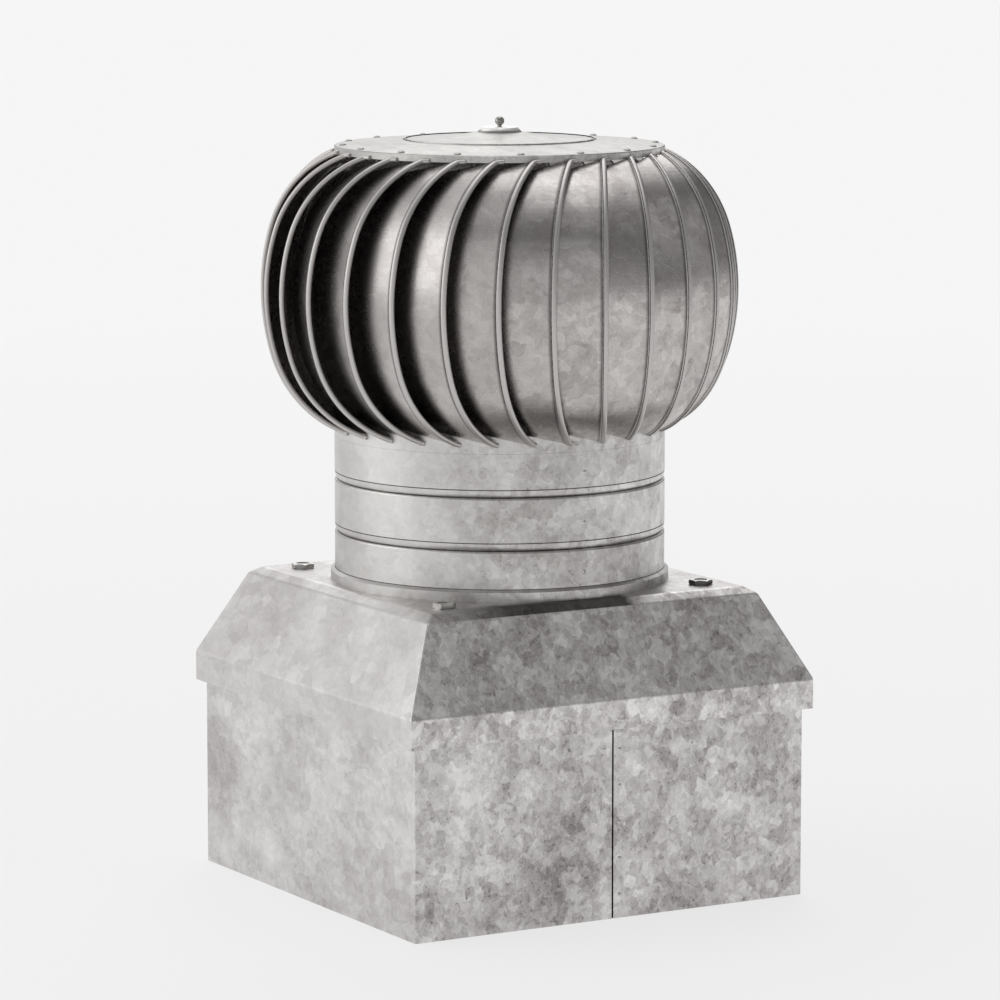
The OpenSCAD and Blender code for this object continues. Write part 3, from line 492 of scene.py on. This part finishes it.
# This layer marks the strip of sheet beside its hem, which is painted dark as shade.
painted_hem_shade = vane.verts.layers.float["painted_hem_shade"]
for vert in vane.verts:
    vert[painted_hem_shade] = float(vert.co.y > crease_line + 0.1 * MM)
rolled = hem.verts.layers.float["rolled"]
for side, (turn_radius, turn, run) in zip((1, -1), HEM_ENDS):
    hem_half(hem, side, turn_radius, turn, run)
bmesh.ops.remove_doubles(hem, verts=hem.verts, dist=0.01 * MM)
bmesh.ops.recalc_face_normals(hem, faces=hem.faces)
for vert in hem.verts:
    vert[rolled] = 1.0
hem_mesh = bpy.data.meshes.new("hem")
hem.to_mesh(hem_mesh)
hem.free()
vane.from_mesh(hem_mesh)

vane_zinc = galvanised("vane galvanised sheet", "#DFDCDB", "#938C8B", "#3A3633", 0.27, dab=14, lean=0.015,
                       clouds=0.6, clean=0.28, specks=0.3, worn=0.75)
tree = vane_zinc.node_tree
shader = tree.nodes["Principled BSDF"]
on_hem = add(tree, "Attribute", out="Fac", attribute_name="rolled")
# Painted shade: the strip of sheet beside the hem is mixed 0.9 of the way to near-black, for the shade in the
# gap by the hem.
by_hem = add(tree, "Attribute", out="Fac", attribute_name="painted_hem_shade")
hem_shade_share = add(tree, "Math", {0: by_hem, 1: 0.9}, operation="MULTIPLY")
sheet = add(tree, "Mix", {"Factor": hem_shade_share, "A": shader.inputs["Base Color"].links[0].from_socket,
                          "B": linear("#3A3633")}, "Result", data_type="RGBA")
worked = add(tree, "Mix", {"Factor": on_hem, "A": sheet, "B": linear("#C6C3C1")}, "Result",
             data_type="RGBA")
tree.links.new(worked, shader.inputs["Base Color"])
rougher = add(tree, "Mix", {"Factor": on_hem, "A": shader.inputs["Roughness"].links[0].from_socket,
                            "B": 0.42}, "Result")
tree.links.new(rougher, shader.inputs["Roughness"])
for number in range(VANE_COUNT):
    turned_vane = vane.copy()
    spot = FIRST_VANE - VANE_LEAN + number * 2 * pi / VANE_COUNT
    bmesh.ops.rotate(turned_vane, cent=(0, 0, 0), matrix=Matrix.Rotation(spot, 3, "Z"),
                     verts=turned_vane.verts)
    dress(f"vane_strip_{number + 1:02d}", turned_vane, "turbine", f"vane_{number + 1:02d}",
          vane_zinc)
vane.free()


# Crown. A pressed disc with a turned-down rim closes the top of the turbine, held to the
# stiffening ring below it by sixteen low rivets. It is the cleanest sheet on the fan.

CROWN_SLOPE = radians(4.3)
RIVET_LINE = 144.5 * MM
RIVET_RADIUS, RIVET_HIGH = 2.7 * MM, 0.85 * MM

crown_zinc = galvanised("crown galvanised sheet", "#D9D8D6", "#9E9B99", "#3E3A37", 0.38, lean=0.03,
                        clouds=0.5, specks=0.3)
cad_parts["crown"].data.materials[0] = crown_zinc

heads = copy_of("crown_rivets")
crown_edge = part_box("crown")[1][2]
for spot in range(16):
    stand = (Matrix.Rotation(spot * 2 * pi / 16, 4, "Z")
             @ Matrix.Translation((RIVET_LINE, 0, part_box("crown_rivets")[1][2] - 1.8 * MM + RIVET_HIGH / 2))
             @ Matrix.Rotation(CROWN_SLOPE, 4, "Y"))
    made = bmesh.ops.create_cone(heads, cap_ends=True, segments=20, radius1=RIVET_RADIUS,
                                 radius2=RIVET_RADIUS - 0.4 * MM, depth=RIVET_HIGH, matrix=stand)
# Painted shade: the heads' darker grey stands in for the shade on their sides.
dress("crown_rivet_heads", heads, "turbine", "crown_rivets",
      plated("crown rivet steel darkened as painted shade", "#BDBBB8", 0.5))


# Weather cap, boss and ball. A shallow dished disc with a rounded edge sits in the crown's
# seat. A low conical boss holds it down, with a small turned ball screwed in on top.

CAP_SHEET = 1.0 * MM
cap_low, cap_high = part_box("weather_cap")
cap_rim, cap_foot, cap_top = cap_high[0], cap_low[2], cap_high[2]
face = [(0.0, 1.8), (0.15, 2.15), (0.5, 2.35), (0.85, 2.25), (1.1, 1.5), (1.6, 1.4), (5.0, 1.5),
        (32, 3.2), (47, 4.8)]
upper_face = [(cap_rim - inset * MM, cap_foot + rise * MM) for inset, rise in face]
flat_rim, hole_rim = 21 * MM, 5.2 * MM
upper_face += [(flat_rim, cap_top - 0.1 * MM), (hole_rim, cap_top)]
lower_face = [(radius, height - CAP_SHEET) for radius, height in upper_face[:5:-1]]


def behind_bead(tree, place):
    """1 in the crease behind the cap's bead, where shade is painted."""
    flat = add(tree, "VectorMath", {0: place, 1: (1, 1, 0)}, operation="MULTIPLY")
    out = add(tree, "VectorMath", {0: flat}, "Value", operation="LENGTH")
    return add(tree, "Math", {0: out, 1: cap_rim - 1.25 * MM, 2: 0.35 * MM}, operation="COMPARE")


cap_zinc = galvanised("cap galvanised sheet", "#D9D8D6", "#9E9B99", "#3E3A37", 0.38, lean=0.03,
                      clouds=0.5, specks=0.3)
# Painted shade: a thin near-black ring in the crease behind the cap's bead.
with_painted_shade(cap_zinc, behind_bead)
turned("dished_weather_cap", "weather_cap", "turbine",
       [(cap_rim - CAP_SHEET, cap_foot), (cap_rim, cap_foot)] + upper_face + lower_face
       + [(cap_rim - CAP_SHEET, cap_foot + CAP_SHEET / 2)], cap_zinc)

boss = copy_of("cap_boss")
boss_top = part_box("cap_boss")[1][2]
upper_edge = [vert for vert in boss.verts
              if vert.co.z > boss_top - 1.3 * MM and vert.co.xy.length > 15 * MM]
bmesh.ops.scale(boss, vec=(0.84, 0.84, 1), verts=upper_edge)
dress("conical_cap_boss", boss, "turbine", "cap_boss",
      plated("bright zinc plated boss", "#F6F5F3", 0.5, grain=0.05))
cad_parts["ball_finial"].data.materials[0] = plated("turned zinc plated ball", "#A3A19E", 0.28)


# Studio. A pale floor that runs up into a paler backdrop, and broad soft lights round the
# room: overhead, behind and on the left. The camera is at the photograph's height.

floor_mesh = bpy.data.meshes.new("floor")
shape = bmesh.new()
bmesh.ops.create_circle(shape, cap_ends=True, segments=64, radius=40)
shape.to_mesh(floor_mesh)
shape.free()
floor = bpy.data.objects.new("floor", floor_mesh)
bpy.context.scene.collection.objects.link(floor)
paper, tree, place, shader = new_material("white studio paper")
shader.inputs["Roughness"].default_value = 0.9
shader.inputs["Specular IOR Level"].default_value = 0.0
# Painted shade: the paper's colour runs from #EDEDED near the fan to #F2F2F2 five metres off, darker near the
# fan.
away = add(tree, "VectorMath", {0: place}, "Value", operation="LENGTH")
shade = add(tree, "MapRange", {"Value": away, "From Min": 0.5, "From Max": 5.0})
shaded_paper = add(tree, "Mix", {"Factor": shade, "A": linear("#EDEDED"), "B": linear("#F2F2F2")}, "Result",
            data_type="RGBA")
tree.links.new(shaded_paper, shader.inputs["Base Color"])
glow = add(tree, "Emission", {"Color": shaded_paper, "Strength": 1.117})
rays = add(tree, "LightPath", out="Is Camera Ray")
seen = add(tree, "Math", {0: rays, 1: rays.node.outputs["Is Glossy Ray"]}, operation="MAXIMUM")
seen = add(tree, "Math", {0: seen, 1: 0.76}, operation="MULTIPLY")
blend = add(tree, "MixShader", {0: seen, 1: shader.outputs[0], 2: glow})
tree.links.new(blend, tree.nodes["Material Output"].inputs["Surface"])
floor_mesh.materials.append(paper)

# Each light: its heading from the camera's side round by the right, its height, how far its
# edge lies from its middle, all in degrees, and its strength
camera_heading = -120
soft_lights = ((0, 0, 38, 0.46), (90, 0, 38, 0.14), (180, 5, 38, 0.22), (225, 5, 38, 0.24),
               (270, 3, 38, 1.5), (312, 5, 34, 0.57), (68, 36, 32, 0.27), (180, 33, 32, 1.16),
               (225, 35, 35, 0.4), (270, 32, 35, 0.56), (0, 62, 28, 0.26), (180, 62, 34, 1.0),
               (270, 60, 32, 0.21), (0, 90, 30, 0.9))
world = bpy.data.worlds.new("studio")
bpy.context.scene.world = world
world.use_nodes = True
tree = world.node_tree
tree.nodes.clear()
way = add(tree, "TexCoord", out="Generated")
level = 0.18
for heading, height, spread, strength in soft_lights:
    turn, rise = radians(camera_heading + heading), radians(height)
    middle = (cos(turn) * cos(rise), sin(turn) * cos(rise), sin(rise))
    near = add(tree, "VectorMath", {0: way, 1: middle}, "Value", operation="DOT_PRODUCT")
    light = add(tree, "MapRange", {"Value": near, "From Min": cos(radians(spread)), "From Max": 1.0,
                                   "To Max": strength}, interpolation_type="SMOOTHSTEP")
    level = add(tree, "Math", {0: light, 1: level}, operation="ADD")
room = add(tree, "Background", {"Color": (1, 1, 1, 1), "Strength": level})
backdrop = add(tree, "Background", {"Color": linear("#F6F6F6"), "Strength": 1.0})
camera_ray = add(tree, "LightPath", out="Is Camera Ray")
either = add(tree, "MixShader", {0: camera_ray, 1: room, 2: backdrop})
add(tree, "OutputWorld", {"Surface": either})

camera = bpy.data.objects.new("camera", bpy.data.cameras.new("camera"))
bpy.context.scene.collection.objects.link(camera)
camera.data.lens = 178.2
camera.data.sensor_width = 36
camera.data.clip_end = 100
camera.location = (-2.268, -3.929, 0.991)
camera.rotation_euler = (radians(90 - 7.97), 0, radians(-30))
bpy.context.scene.camera = camera
bpy.context.scene.view_settings.view_transform = "Standard"
